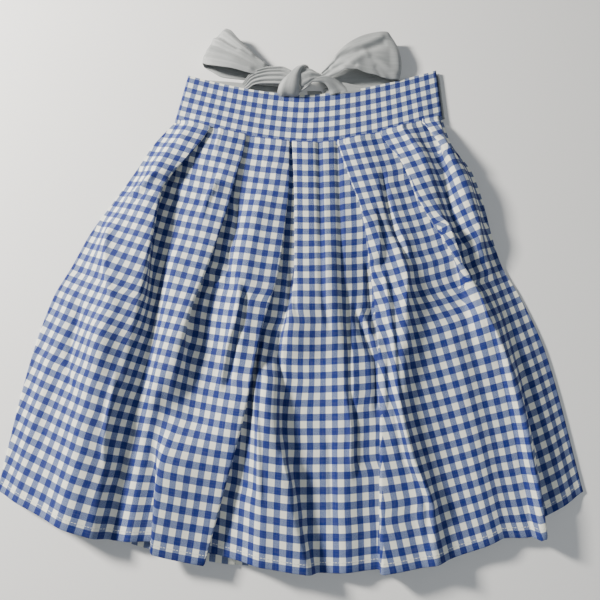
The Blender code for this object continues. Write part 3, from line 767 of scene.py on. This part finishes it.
def check_group(weave):
    """Gingham: equal stripes of blue and white in both sets of yarns, woven through each other."""
    group = bpy.data.node_groups.new("gingham check", "ShaderNodeTree")
    group_socket(group, "Cut", "NodeSocketVector", "INPUT")
    group_socket(group, "Across", "NodeSocketFloat", "INPUT", CHECK_ACROSS * MM)
    group_socket(group, "Along", "NodeSocketFloat", "INPUT", CHECK_ALONG * MM)
    group_socket(group, "Yarn Pitch", "NodeSocketFloat", "INPUT", YARN_PITCH * MM)
    group_socket(group, "Blue Yarn", "NodeSocketColor", "INPUT", (0.001, 0.014, 0.15, 1.0))
    group_socket(group, "Blue Crossed", "NodeSocketColor", "INPUT", (0.01, 0.032, 0.18, 1.0))
    group_socket(group, "White Crossed", "NodeSocketColor", "INPUT", (0.25, 0.31, 0.45, 1.0))
    group_socket(group, "White Yarn", "NodeSocketColor", "INPUT", (0.84, 0.84, 0.74, 1.0))
    group_socket(group, "Color", "NodeSocketColor", "OUTPUT")
    group_socket(group, "Height", "NodeSocketFloat", "OUTPUT")
    made = Sheet(group)
    inputs = made.node("NodeGroupInput")
    outputs = made.node("NodeGroupOutput")
    apart = made.node("ShaderNodeSeparateXYZ")
    made.put(apart.inputs[0], inputs.outputs["Cut"])
    stripes = []
    for place, width in ((apart.outputs[0], "Across"), (apart.outputs[1], "Along")):
        turns = made.maths("DIVIDE", place, inputs.outputs[width])
        within = made.maths("FRACT", turns)
        from_middle = made.maths("ABSOLUTE", made.maths("SUBTRACT", within, 0.5))
        stripes.append(made.ramp(from_middle, STRIPE_FADES[1], STRIPE_FADES[0]))
    yarns = made.node("ShaderNodeGroup")
    yarns.node_tree = weave
    made.put(yarns.inputs["Cut"], inputs.outputs["Cut"])
    made.put(yarns.inputs["Yarn Pitch"], inputs.outputs["Yarn Pitch"])
    both = made.maths("MULTIPLY", stripes[0], stripes[1])
    either = made.maths("SUBTRACT", made.maths("ADD", stripes[0], stripes[1]), both)
    warp_on_top = yarns.outputs["Warp On Top"]
    blue_on_top = made.maths("ABSOLUTE", made.maths("SUBTRACT", stripes[1], warp_on_top))
    crossed = made.mix(blue_on_top, inputs.outputs["White Crossed"], inputs.outputs["Blue Crossed"])
    plain = made.mix(either, inputs.outputs["White Yarn"], crossed)
    woven = made.mix(both, plain, inputs.outputs["Blue Yarn"])
    slub = made.ramp(yarns.outputs["Slub"], 0.3, 0.8)
    worn = made.mix(slub, woven, made.mix(0.04, woven, inputs.outputs["White Yarn"]))
    made.put(outputs.inputs["Color"], worn)
    made.put(outputs.inputs["Height"], yarns.outputs["Height"])
    return group


def finish_material(name):
    """A material with its Principled shader and a way to write down its nodes."""
    material = bpy.data.materials.new(name)
    material.use_nodes = True
    made = Sheet(material.node_tree)
    shader = material.node_tree.nodes["Principled BSDF"]
    return material, made, shader


def cut_places(made):
    """The cloth's own flat cut, in metres."""
    return made.node("ShaderNodeUVMap", uv_map="cut").outputs["UV"]


def gingham_material(name, check):
    """Gingham cotton, with faint rumples and the bump of its weave."""
    material, made, shader = finish_material(name)
    woven = made.node("ShaderNodeGroup")
    woven.node_tree = check
    made.put(woven.inputs["Cut"], cut_places(made))
    made.put(shader.inputs["Base Color"], woven.outputs["Color"])
    cloudy = made.noise(cut_places(made), 60.0, 4.0)
    made.put(shader.inputs["Roughness"], made.maths("MULTIPLY_ADD", cloudy, 0.2, 0.7))
    rumpled = made.node("ShaderNodeBump")
    rumpled.inputs["Distance"].default_value = 0.9 * MM
    rumpled.inputs["Strength"].default_value = 0.35
    made.put(rumpled.inputs["Height"], cloudy)
    bump = made.node("ShaderNodeBump")
    bump.inputs["Distance"].default_value = 0.12 * MM
    bump.inputs["Strength"].default_value = 0.5
    made.put(bump.inputs["Height"], woven.outputs["Height"])
    made.put(bump.inputs["Normal"], rumpled.outputs["Normal"])
    made.put(shader.inputs["Normal"], bump.outputs["Normal"])
    shader.inputs["Sheen Weight"].default_value = 0.04
    shader.inputs["Sheen Roughness"].default_value = 0.6
    shader.inputs["Specular IOR Level"].default_value = 0.25
    return material


def sash_material(weave):
    """Plain pale grey cotton sateen: a fine weave and soft streaks along it."""
    material, made, shader = finish_material("sash cotton")
    yarns = made.node("ShaderNodeGroup")
    yarns.node_tree = weave
    made.put(yarns.inputs["Cut"], cut_places(made))
    yarns.inputs["Yarn Pitch"].default_value = 0.35 * MM
    streaks = made.noise(cut_places(made), 1.0, 3.0, (30.0, 400.0, 1.0))
    darker, lighter = (0.3, 0.318, 0.32, 1.0), (0.37, 0.382, 0.382, 1.0)
    tint = made.mix(made.ramp(streaks, 0.3, 0.7), darker, lighter)
    made.put(shader.inputs["Base Color"], tint)
    made.put(shader.inputs["Roughness"], made.maths("MULTIPLY_ADD", streaks, 0.25, 0.42))
    bump = made.node("ShaderNodeBump")
    bump.inputs["Distance"].default_value = 0.08 * MM
    bump.inputs["Strength"].default_value = 0.5
    made.put(bump.inputs["Height"], yarns.outputs["Height"])
    made.put(shader.inputs["Normal"], bump.outputs["Normal"])
    shader.inputs["Sheen Weight"].default_value = 0.3
    shader.inputs["Sheen Roughness"].default_value = 0.4
    return material


def thread_material(name, colour):
    """Twisted sewing thread, its ply shown by fine bands."""
    material, made, shader = finish_material(name)
    place = made.node("ShaderNodeTexCoord").outputs["Object"]
    ply = made.noise(place, 2500.0, 1.0)
    darker = tuple(0.8 * part for part in colour[:3]) + (1.0,)
    made.put(shader.inputs["Base Color"], made.mix(made.ramp(ply, 0.35, 0.65), darker, colour))
    shader.inputs["Roughness"].default_value = 0.55
    return material


def floor_material():
    """Plain pale paper for the floor."""
    material, made, shader = finish_material("pale floor")
    shader.inputs["Base Color"].default_value = (0.86, 0.86, 0.85, 1.0)
    shader.inputs["Roughness"].default_value = 0.9
    return material


# Pieces


def hemmed_cloth(name, rows, downs, across, inner_side, finish):
    """A panel's sheet with its hem turned up on its inner side (+1 or -1 of the section's normal).

    The turned rows keep the places across the cut of the edge, and run on down the cut.
    """
    turned, lasts = turned_hem(rows, downs, HEM_RADIUS, inner_side)
    extra = len(turned) - len(rows)
    across = np.concatenate([across, np.repeat(across[-1:], extra, axis=0)])
    flat = np.stack([across, -np.repeat(lasts[:, None], across.shape[1], axis=1)], axis=-1)
    return cloth(name, turned, flat, GINGHAM_THICK, finish)


def hem_stitches(name, rows, downs, outer_side, thread):
    """The topstitching of a hem: a row of stitches on the cloth's outer side above its edge."""
    near = np.abs(downs - (SKIRT_LENGTH - HEM_STITCH_UP)).argmin()
    normal = section_normals(rows)[near] * outer_side
    path = rows[near] + normal * (GINGHAM_THICK / 2)
    made = stitches(name, path, normal, thread)
    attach(made, "root")
    return made


def build_front(finish, thread):
    """The skirt's front, its hem turned up and topstitched."""
    folds = [dict(fold, at=STATIONS) for fold in FOLDS.values()]
    panel = Panel(folds, turn_steps=5, inner_steps=3, run_steps=FRONT_RUN_STEPS)
    tucked = [-TUCKED_UNDER_BAND, -TUCKED_UNDER_BAND / 2]
    downs = np.concatenate([tucked, np.linspace(0.0, SKIRT_LENGTH, FRONT_ROWS)])
    rows = np.array([front_row(panel, float(down)) for down in downs])
    across = stripes_across(panel, rows, downs, FRONT_WARP_LINES)
    piece = hemmed_cloth("front_cloth", rows, downs, across, -1.0, finish)
    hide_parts("skirt_front")
    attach(piece, "root")
    hem = hem_stitches("front_hem_stitching", rows, downs, 1.0, thread)


def build_back(finish, thread):
    """The skirt's back, pressed flat under the front."""

    def across_at(share, downs):
        """Across of a share of the way from the middle to the right side (left when minus)."""
        left_x, _ = side_at(LEFT_SIDE, np.asarray(downs, float))
        right_x, _ = side_at(RIGHT_SIDE, np.asarray(downs, float))
        return (left_x + right_x) / 2 + share * (right_x - left_x) / 2

    folds = []
    for share in BACK_SHARES:
        across = across_at(share, BACK_STATIONS)
        turn = math.copysign(180.0, -share)
        turns = [turn] * len(BACK_STATIONS)
        folds.append({"at": BACK_STATIONS, "across": across, "turn": turns, "run": BACK_OVERLAP})
    panel = Panel(folds, turn_steps=4, inner_steps=2, run_steps=(14,) * (len(folds) + 1))
    downs = np.linspace(0.0, SKIRT_LENGTH, BACK_ROWS)
    rows = np.array([back_row(panel, float(down)) for down in downs])
    bounds = np.array([-1.0, *BACK_SHARES, 1.0])
    middles = (bounds[:-1] + bounds[1:]) / 2
    warp_lines = [across_at(share, WARP_STATIONS) for share in middles]
    across = stripes_across(panel, rows, downs, warp_lines)
    piece = hemmed_cloth("back_cloth", rows, downs, across, 1.0, finish)
    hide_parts("skirt_back")
    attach(piece, "root")
    hem = hem_stitches("back_hem_stitching", rows, downs, -1.0, thread)


def band_surface(height_at_seam, height_at_top, rises):
    """Middle points of a waistband panel: from the curved seam up to its curved top edge."""
    columns = np.linspace(0.0, 1.0, BAND_COLUMNS)
    left_foot, right_foot = LEFT_SIDE[0][1], RIGHT_SIDE[0][1]
    foot_x = left_foot + (right_foot - left_foot) * columns
    foot_y = page_y(foot_x, 0.0) + SEAM_GAP
    top_x = BAND_TOP_LEFT + (BAND_TOP_RIGHT - BAND_TOP_LEFT) * columns
    from_middle = np.abs(top_x - BAND_TOP_LOWEST) / BAND_TOP_REACH
    top_y = WAIST_SEAM_Y + BAND_HEIGHT + BAND_TOP_RISE * from_middle**SMILE_POWER
    seam = height_at_seam(columns)
    surface = []
    for rise in rises:
        x = foot_x + (top_x - foot_x) * rise
        y = foot_y + (top_y - foot_y) * rise
        z = seam + (height_at_top - seam) * smooth_step(rise * 1.25)
        surface.append(np.column_stack([x, y, z]))
    return np.array(surface)


def folded_band(name, middle, rises, outer_side, finish):
    """A waistband panel folded over at its top: the outer cloth, a half round, the inner cloth."""
    half = BAND_HALF_DEPTH
    outer = middle + np.array([0.0, 0.0, half * outer_side])
    inner = middle - np.array([0.0, 0.0, half * outer_side])
    beyond = middle[-1] - middle[-2]
    beyond /= np.linalg.norm(beyond, axis=1, keepdims=True)
    top = []
    for angle in np.radians([90, 60, 30, 0, -30, -60, -90]):
        lift = np.array([0.0, 0.0, outer_side * half * math.sin(angle)])
        top.append(middle[-1] - half * beyond + half * math.cos(angle) * beyond + lift)
    foot = []
    below = middle[0] - middle[1]
    below /= np.linalg.norm(below, axis=1, keepdims=True)
    for angle in np.radians([0, 30, 60]):
        lift = np.array([0.0, 0.0, outer_side * half * math.sin(angle)])
        foot.append(middle[0] + half * below * (math.cos(angle) + 0.6) + lift)
    points = np.concatenate([foot, outer[:-1], top, inner[-2::-1]])
    round_up = np.linspace(0.0, 2.0, len(top))
    up = np.concatenate(
        [
            [-1.2, -0.8, -0.4],
            rises[:-1] * BAND_HEIGHT,
            BAND_HEIGHT + round_up,
            BAND_HEIGHT + round_up[-1] + (1 - rises[-2::-1]) * BAND_HEIGHT,
        ]
    )
    across = row_lengths(middle[len(middle) // 2][None])[0]
    across -= across[len(across) // 2]
    flat = np.stack(np.broadcast_arrays(across[None, :], up[:, None]), axis=-1)
    return cloth(name, points, flat, GINGHAM_THICK, finish)


def build_bands(finish):
    """The waistband's back and front, each a folded length of gingham."""
    back_middle = UNDER_LIFT + BAND_WALL / 2
    front_low = UNDER_LIFT + BAND_WALL + SEAM_GAP + BAND_WALL / 2
    over_pleats = UNDER_LIFT + 4 * LAYER_PITCH + BAND_OVER_PLEATS
    rises = np.linspace(0.0, 1.0, BAND_ROWS)

    def back_seam(columns):
        """The back's middle lies level along its seam."""
        return np.full_like(columns, back_middle)

    def front_seam(columns):
        """The front's middle climbs from both ends of its seam on to the pleats."""
        climbs = smooth_step(columns / BAND_CLIMBS_LEFT)
        falls = smooth_step((1.0 - columns) / BAND_CLIMBS_RIGHT)
        return front_low + (over_pleats - front_low) * climbs * falls

    back_surface = band_surface(back_seam, back_middle, rises)
    front_surface = band_surface(front_seam, front_low, rises)
    back = folded_band("back_waistband", back_surface, rises, -1.0, finish)
    front = folded_band("front_waistband", front_surface, rises, 1.0, finish)
    for piece, node, under in ((back, "waistband_back", "floor"), (front, "waistband_front", back)):
        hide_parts(node)
        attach(piece, "root")


def strip(stations, wide_steps, long_steps):
    """A strip of cloth on the floor from rows of (x, y) of its two long edges."""
    stations = np.asarray(stations, float)
    number = np.arange(len(stations))
    at = np.linspace(0, len(stations) - 1, long_steps)
    edges = np.stack(
        [[through(at, number, stations[:, e, a]) for a in range(2)] for e in range(2)]
    )
    part = np.linspace(0.0, 1.0, wide_steps)[None, :, None]
    first = edges[0].T[:, None, :]
    second = edges[1].T[:, None, :]
    plan = first + (second - first) * part
    return np.concatenate([plan, np.full(plan.shape[:2] + (1,), SASH_WALL / 2)], axis=2)


# The sash under the waistband and its ends under the skirt: the two long edges, row by row
SASH_LEFT = (
    ((-146, 220), (-136, 277)),
    ((-115, 224), (-110, 275)),
    ((-75, 234), (-75, 272)),
    ((-45, 242), (-45, 268)),
    ((-22.8, 247), (-22.8, 266)),
)
SASH_RIGHT = (
    ((32.8, 250), (32.8, 274)),
    ((52, 246), (52, 266)),
    ((80, 236), (82, 259)),
    ((125, 226), (128, 250)),
    ((168, 222), (165, 280)),
)
TAIL_LEFT = (
    ((-16, 260.2), (-3, 260.2)),
    ((-28, 225), (-4, 225)),
    ((-48, 195), (-5, 195)),
    ((-60, 150), (-6, 150)),
    ((-66, 62), (-9, 48)),
)
TAIL_RIGHT = (
    ((9, 260.2), (26, 260.2)),
    ((12, 225), (38, 225)),
    ((13, 195), (57, 195)),
    ((14, 150), (70, 150)),
    ((16, 58), (78, 44)),
)


def flat_places(points):
    """The flat cut of a sash piece: along it by arc length down the middle, across it by share."""
    middle = points[:, points.shape[1] // 2]
    along = row_lengths(middle[None])[0]
    across = np.linspace(-SASH_WIDE / 2, SASH_WIDE / 2, points.shape[1])
    return np.stack(np.broadcast_arrays(along[:, None], across[None, :]), axis=-1), along[-1]


def sash_piece(name, nodes, points, finish):
    """One piece of the sash with its flat cut."""
    flat, long = flat_places(points)
    piece = cloth(name, points, flat, SASH_THICK, finish)
    if nodes:
        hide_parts(*nodes)
    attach(piece, "root")


def build_sash(finish):
    """The sash from each side seam to the knot, and its two ends."""
    sash_piece("left_sash", ("sash_left",), strip(SASH_LEFT, *SASH_STEPS), finish)
    flat = strip(SASH_RIGHT, *SASH_STEPS)
    angle = np.radians([10, 30, 50, 70, 90, 110, 130, 150, 170, 180])
    out = np.concatenate(
        [[SASH_TURN_START], SASH_TURN_RADIUS * np.sin(angle) + SASH_TURN_OUT, [SASH_TURN_END]]
    )
    up = np.concatenate([[0.0], SASH_TURN_RADIUS * (1.0 - np.cos(angle)), [2 * SASH_TURN_RADIUS]])
    shifts = np.column_stack([out, np.zeros_like(out), up])
    right = np.vstack([flat, flat[-1] + shifts[:, None]])
    sash_piece("right_sash", ("sash_right",), right, finish)
    for name, node, table in (
        ("left_sash_end", "sash_tail_left", TAIL_LEFT),
        ("right_sash_end", "sash_tail_right", TAIL_RIGHT),
    ):
        sash_piece(name, (node,), strip(table, *SASH_END_STEPS), finish)


# The bow's loops, station by station from the knot out over the top, round the tip and back
# underneath: the far edge's x, y and z, the near edge's x, y and z, and how far the cloth puffs
LEFT_LOOP = (
    (-27, 286, 9.0, -27, 270, 9.0, 0.0),
    (-36, 288, 10.0, -37, 271, 10.0, 0.5),
    (-46, 294, 11.5, -47, 273, 11.5, 1.0),
    (-61, 308, 13.5, -62, 276, 14.0, 1.8),
    (-75, 322, 15.5, -80, 281, 15.0, 2.4),
    (-85, 333.5, 16.0, -98, 285.0, 13.8, 2.0),
    (-91, 336, 15.0, -111.5, 288.5, 11.6, 2.4),
    (-94, 336, 9.0, -118.8, 293, 7.8, 5.0),
    (-91, 334, 2.2, -117.5, 292, 2.0, 4.0),
    (-84, 329, 0.8, -109, 287, 0.8, 0.0),
    (-73, 318, 0.8, -96, 279.5, 0.8, 0.0),
    (-60, 304, 0.9, -70, 276, 1.0, 0.0),
    (-45, 291, 1.8, -45, 272.5, 2.4, 0.0),
    (-27, 285, 2.4, -27, 271, 2.6, 0.0),
)
RIGHT_LOOP = (
    (26, 280, 8.5, 27, 271, 8.5, 0.0),
    (32, 286, 10.0, 34, 272, 10.5, 0.4),
    (40, 296, 12.5, 44, 275, 13.5, 1.0),
    (50, 308, 15.0, 54, 278, 16.5, 1.4),
    (64, 319, 16.5, 66, 278.5, 17.5, 1.8),
    (80, 326.5, 17.0, 79, 275.5, 14.5, 2.6),
    (95, 329.5, 17.5, 93, 273.5, 12.5, 2.8),
    (106, 331, 16.0, 107, 271, 9.5, 3.2),
    (111.5, 328, 9.5, 120, 271.5, 6.0, 7.5),
    (109, 325, 2.4, 119, 270.5, 1.5, 5.0),
    (99, 321, 0.9, 110, 266.5, 0.9, 0.0),
    (80, 313, 0.9, 90, 264.5, 0.9, 0.0),
    (60, 301, 0.9, 65, 266, 0.9, 0.0),
    (42, 289, 1.8, 45, 269.5, 2.6, 0.0),
    (26, 279, 2.4, 27, 271, 2.6, 0.0),
)

# Creases of the loops' upper faces: the places each passes (x, y), its height and half-width
LEFT_LOOP_CREASES = (
    (((-107, 316), (-84, 304), (-70, 296), (-38, 283)), -2.8, 4.4),
    (((-104, 322), (-86, 310), (-68, 300), (-44, 289)), 2.2, 3.0),
    (((-100, 327), (-88, 316), (-76, 307)), -2.2, 2.8),
    (((-114, 298), (-92, 290), (-60, 281)), 1.4, 3.4),
    (((-92, 332), (-80, 320), (-58, 300)), 1.4, 2.4),
)
RIGHT_LOOP_CREASES = (
    (((42, 292), (56, 299), (68, 300), (79, 304), (100, 314)), -2.4, 5.0),
    (((44, 298), (58, 306), (72, 309), (98, 322)), 1.6, 4.0),
    (((54, 280), (66, 290), (77, 300)), 1.6, 4.6),
    (((79, 300), (93, 289), (114, 278)), 1.4, 5.0),
    (((86, 294), (98, 282), (110, 272)), -1.4, 4.0),
    (((91, 282), (98, 273)), -0.9, 3.0),
    (((36, 282), (52, 286), (66, 284)), -1.8, 2.4),
)

# The tied sash round and beside the knot, in the same columns as the loops
LEFT_NECK = (
    (-71, 269.5, 1.8, -64, 262, 1.8, 0.3),
    (-67, 272.5, 4.0, -60, 263, 4.0, 0.5),
    (-60.5, 277.5, 9.0, -55, 263.5, 7.5, 0.8),
    (-51, 281, 12.5, -47, 263.5, 9.5, 1.0),
    (-38, 283.5, 14.5, -35, 262.5, 11.0, 1.0),
    (-23, 283.5, 15.5, -23, 261.5, 12.0, 0.8),
    (-10, 278, 15.0, -14, 261, 12.5, 0.3),
)
KNOT_BAND = (
    (0, 287, 2.0, 12, 288, 2.0, 0.5),
    (-3, 286, 9.0, 10, 288, 9.5, 1.2),
    (-6, 281, 14.0, 6, 284, 15.0, 2.0),
    (-12, 274, 16.0, 1, 275, 18.0, 2.6),
    (-19, 267, 16.0, -1, 265, 18.0, 3.0),
    (-25, 259, 13.0, -1, 257, 15.5, 2.8),
    (-27, 253, 8.5, -1, 252, 10.0, 2.0),
    (-26, 251, 5.0, -2, 250.5, 5.5, 1.0),
)
KNOT_TOP = (
    (-3, 280.5, 13.0, -2, 262, 15.0, 3.0),
    (5, 284, 12.0, 2, 257, 13.8, 3.8),
    (12, 284, 10.5, 9, 260.5, 14.0, 3.8),
    (19, 280, 9.0, 17, 266, 13.0, 3.0),
    (26, 276, 7.5, 24, 268, 11.5, 2.0),
    (33, 273, 6.5, 31, 267.5, 9.5, 0.6),
)
RIGHT_FLAP = (
    (2, 259, 12.0, -1, 252, 9.0, 0.3),
    (8, 260, 14.0, 5, 254, 12.5, 0.5),
    (19, 268, 14.5, 16.5, 263.5, 14.0, 0.7),
    (32, 272.5, 13.0, 27, 263.5, 12.5, 1.0),
    (44, 269.5, 9.5, 33, 259.5, 10.0, 1.2),
    (54, 263.5, 6.5, 35.5, 255, 7.0, 1.2),
    (62, 258, 4.5, 36, 251.5, 5.5, 0.6),
)
RIGHT_BAND = (
    (30, 262, 3.0, 30, 252, 3.0, 0.2),
    (42, 267, 5.0, 42, 253, 4.6, 0.6),
    (52, 268, 6.0, 54, 254, 5.4, 0.6),
    (66, 265.5, 5.0, 68, 255, 4.8, 0.5),
    (82, 262, 4.2, 80, 257, 4.2, 0.2),
)


# Share of a ribbon's length over which the gathers at either end fade out, and the gathers of a
# loop: their number, and their depth at its start, in its middle and at its end
GATHERS_REACH = 0.35
LOOP_GATHERS = (3, 1.4, 0.0, 1.0)


def line_distance(places, path):
    """Distance in plan of every point to the nearest stretch of a path, as one whole array."""
    nearest = np.full(places.shape[:-1], np.inf)
    for start, end in zip(np.asarray(path[:-1], float), np.asarray(path[1:], float)):
        way = end - start
        share = np.clip(((places - start) @ way) / (way @ way), 0.0, 1.0)
        gap = places - start - share[..., None] * way
        nearest = np.minimum(nearest, np.linalg.norm(gap, axis=-1))
    return nearest


def grid_normals(points):
    """Unit normals of a grid of points, turned so that its first half faces up."""
    normal = np.cross(np.gradient(points, axis=1), np.gradient(points, axis=0))
    normal /= np.maximum(np.linalg.norm(normal, axis=2, keepdims=True), 1e-9)
    return normal * np.sign(normal[: len(points) // 2, :, 2].mean())


def ribbon(stations, steps, gathers, creases=()):
    """A ribbon of cloth through its stations, puffed between its edges and gathered at the ends.

    A point is a share of the way from the far edge to the near edge, moved along the surface's
    normal by a parabola across the width, by a slightly uneven cosine wave of gathers' (count,
    depth at the start, in the middle and at the end), and by bells along the creases on its top.
    Where that would sink into the floor it lies on the floor.
    """
    long_steps, wide_steps = steps
    table = np.asarray(stations, float)
    number = np.arange(len(table))
    at = np.linspace(0, len(table) - 1, long_steps)
    smooth = np.stack([through(at, number, table[:, i]) for i in range(table.shape[1])], axis=1)
    share = np.linspace(0.0, 1.0, wide_steps)[None, :]
    far, near, puff = smooth[:, None, 0:3], smooth[:, None, 3:6], smooth[:, 6:7]
    points = far + (near - far) * share[:, :, None]
    count, start_depth, middle_depth, end_depth = gathers
    progress = np.linspace(0.0, 1.0, long_steps)[:, None]
    near_start = 1 - smooth_step(progress / GATHERS_REACH)
    near_end = 1 - smooth_step((1 - progress) / GATHERS_REACH)
    depth = middle_depth + (start_depth - middle_depth) * near_start
    depth = depth + (end_depth - middle_depth) * near_end
    uneven = share + 0.06 * np.sin(5.0 * share)
    waves = 0.5 - 0.5 * np.cos(2 * math.pi * count * uneven)
    lift = puff * 4 * share * (1 - share) + depth * waves
    normal = grid_normals(points)
    on_top = smooth_step((normal[:, :, 2] - 0.2) / 0.5)
    for path, height, wide in creases:
        away = line_distance(points[:, :, :2], path)
        lift = lift + height * on_top * np.exp(-((away / wide) ** 2))
    points = points + normal * lift[:, :, None]
    points[:, :, 2] = np.maximum(points[:, :, 2], SASH_WALL / 2)
    return points


def build_bow(finish):
    """The bow's loops, and its knot: a band round it, a neck beside it, its top, a flap and a band.

    Each length of the knot has its own gathers, written as those of the loops.
    """
    left = ribbon(LEFT_LOOP, LOOP_STEPS, LOOP_GATHERS, LEFT_LOOP_CREASES)
    right = ribbon(RIGHT_LOOP, LOOP_STEPS, LOOP_GATHERS, RIGHT_LOOP_CREASES)
    sash_piece("left_loop", ("bow_loop_left",), left, finish)
    sash_piece("right_loop", ("bow_loop_right",), right, finish)
    band = ribbon(KNOT_BAND, KNOT_STEPS, (2, 1.0, 0.6, 1.2))
    sash_piece("knot_band", ("bow_knot",), band, finish)
    for name, stations, gathers in (
        ("left_neck", LEFT_NECK, (5, 1.0, 2.2, 1.6)),
        ("knot_top", KNOT_TOP, (3, 0.6, 0.9, 0.8)),
        ("right_flap", RIGHT_FLAP, (2, 0.8, 0.4, 1.2)),
        ("right_band", RIGHT_BAND, (2, 0.8, 0.4, 0.4)),
    ):
        sash_piece(name, (), ribbon(stations, KNOT_STEPS, gathers), finish)


# The camera: its focal length, and how far back from the skirt's middle and how high it stands
CAMERA_LENS = 29.82
CAMERA_BACK = 0.1157
CAMERA_UP = 0.5397


def build_stage():
    """A pale floor, sunlight from the upper left, and a camera at the photograph's angle."""
    bpy.ops.mesh.primitive_plane_add(size=6.0)
    floor = bpy.context.object
    floor.name = "floor"
    floor.data.materials.append(floor_material())
    world = bpy.data.worlds.new("studio")
    bpy.context.scene.world = world
    world.use_nodes = True
    world.node_tree.nodes["Background"].inputs["Color"].default_value = (0.9, 0.95, 1.0, 1.0)
    world.node_tree.nodes["Background"].inputs["Strength"].default_value = 0.2
    # each light's place and size in metres, its power in watts and its colour
    for name, place, size, power, colour in (
        ("key", (-1.2, 0.6, 0.68), 0.22, 62.0, (1.0, 0.96, 0.89)),
        ("fill", (0.6, -0.5, 1.3), 1.2, 5.0, (0.9, 0.95, 1.0)),
    ):
        light = bpy.data.lights.new(name, "AREA")
        light.size = size
        light.energy = power
        light.color = colour
        lamp = bpy.data.objects.new(name, light)
        lamp.location = place
        away = -np.array(place)
        lamp.rotation_euler = (
            math.atan2(math.hypot(away[0], away[1]), -away[2]),
            0.0,
            math.atan2(away[1], away[0]) - math.pi / 2,
        )
        bpy.context.scene.collection.objects.link(lamp)
    camera = bpy.data.cameras.new("camera")
    camera.lens = CAMERA_LENS
    camera.sensor_width = 36.0
    camera_object = bpy.data.objects.new("camera", camera)
    camera_object.location = (0.0, -CAMERA_BACK, CAMERA_UP)
    camera_object.rotation_euler = (math.atan2(CAMERA_BACK, CAMERA_UP), 0.0, 0.0)
    bpy.context.scene.collection.objects.link(camera_object)
    bpy.context.scene.camera = camera_object


def main():
    """The finishes, the stage, and the garment from its back up to the bow."""
    weave = weave_group()
    check = check_group(weave)
    skirt = gingham_material("gingham of the skirt", check)
    band = gingham_material("gingham of the waistband", check)
    grey = sash_material(weave)
    thread = thread_material("pale hem thread", (0.72, 0.74, 0.72, 1.0))
    build_stage()
    build_back(skirt, thread)
    build_front(skirt, thread)
    build_bands(band)
    build_sash(grey)
    build_bow(grey)


main()
